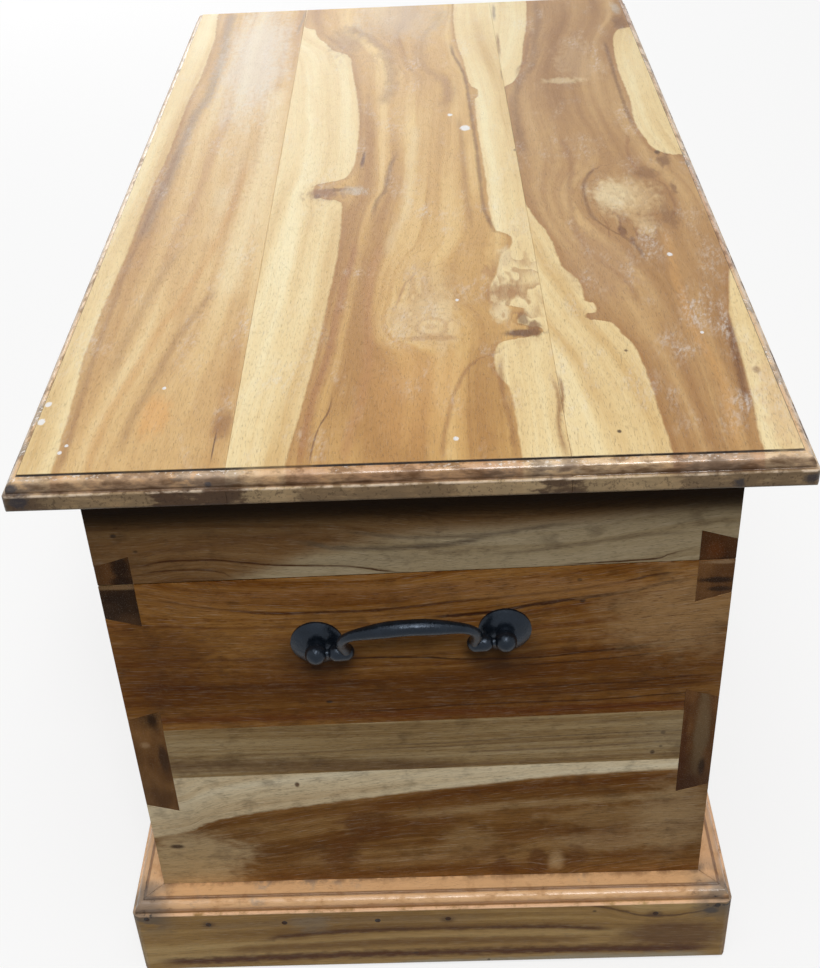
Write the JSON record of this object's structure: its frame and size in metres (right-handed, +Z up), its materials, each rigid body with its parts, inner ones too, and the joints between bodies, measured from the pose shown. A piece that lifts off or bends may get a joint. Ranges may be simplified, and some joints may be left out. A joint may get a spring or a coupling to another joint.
{
  "type": "sea chest",
  "caption": "Wooden sea chest: dovetailed box with a moulded overhanging hinged lid, moulded plinth and iron bail handles on the ends.",
  "frame": {"origin": "middle of the chest's foot on the floor", "axes": "+X along the length to the pictured end, +Y to the back with the hinges, +Z up"},
  "size_m": [0.98, 0.516, 0.52],
  "materials": {
    "teak": "worn oiled teak, cream sapwood streaks in brown heartwood",
    "cast_iron": "black cast iron, satin, a few rust specks",
    "wrought_iron": "black painted iron, worn",
    "steel": "dull steel"
  },
  "bodies": {
    "box": {"plinth_front": "teak", "back_board_upper": "teak", "far_end_upper": "teak", "plinth_far": "teak", "front_board_upper": "teak", "floor_board_3": "teak", "floor_cleat_back": "teak", "far_end_lower": "teak", "floor_board_1": "teak", "floor_cleat_front": "teak", "floor_board_4": "teak", "floor_cleat_near": "teak", "far_end_middle": "teak", "floor_board_5": "teak", "floor_board_2": "teak", "near_end_upper": "teak", "plinth_near": "teak", "plinth_back": "teak", "near_end_lower": "teak", "near_end_middle": "teak", "back_board_lower": "teak", "front_board_lower": "teak", "floor_cleat_far": "teak", "near_rose_front": "cast_iron", "near_rose_back": "cast_iron", "far_rose_front": "cast_iron", "far_rose_back": "cast_iron", "plinth_nails": "steel", "far_rose_washers": "steel", "hinge_box_screws": "steel", "near_rose_nuts": "steel", "floor_cleat_screws": "steel", "near_rose_washers": "steel", "far_rose_nuts": "steel", "stay_box_screw": "steel", "floor_nails": "steel", "hinge_far_pin": "wrought_iron", "hinge_far_box_leaf": "wrought_iron", "hinge_near_pin": "wrought_iron", "hinge_near_box_leaf": "wrought_iron"},
    "lid": {"lid_board_front": "teak", "lid_board_middle": "teak", "lid_board_back": "teak", "lid_skirt_near": "teak", "lid_skirt_far": "teak", "lid_skirt_front": "teak", "lid_skirt_back": "teak", "lid_batten_near": "teak", "lid_batten_far": "teak", "lid_batten_screws": "steel", "hinge_near_lid_leaf": "wrought_iron", "hinge_far_lid_leaf": "wrought_iron", "hinge_lid_screws": "steel", "stay_lid_screw": "steel"},
    "near_bail": {"near_bail": "cast_iron"},
    "far_bail": {"far_bail": "cast_iron"},
    "stay_arm": {"stay_arm": "steel"}
  },
  "joints": [
    {"name": "lid_hinge", "type": "hinge", "parent": "box", "child": "lid", "pos_m": [0, 0.2258, 0.41125], "axis": [-1, 0, 0], "range_deg": [0, 100]},
    {"name": "stay_pivot", "type": "hinge", "parent": "lid", "child": "stay_arm", "pos_m": [-0.4232, 0.12817, 0.43289], "axis": [-1, 0, 0], "range_deg": [-50, 0]},
    {"name": "near_bail_pivot", "type": "hinge", "parent": "box", "child": "near_bail", "pos_m": [0.466, -0.005, 0.3505], "axis": [0, -0.9987, -0.0506], "range_deg": [-164.5, 36.5]},
    {"name": "far_bail_pivot", "type": "hinge", "parent": "box", "child": "far_bail", "pos_m": [-0.466, 0, 0.3505], "axis": [0, 1, 0], "range_deg": [-164.5, 36.5]}
  ],
  "couplings": [
    {"joint": "stay_pivot", "follows": "lid_hinge", "ratio": -0.5}
  ]
}
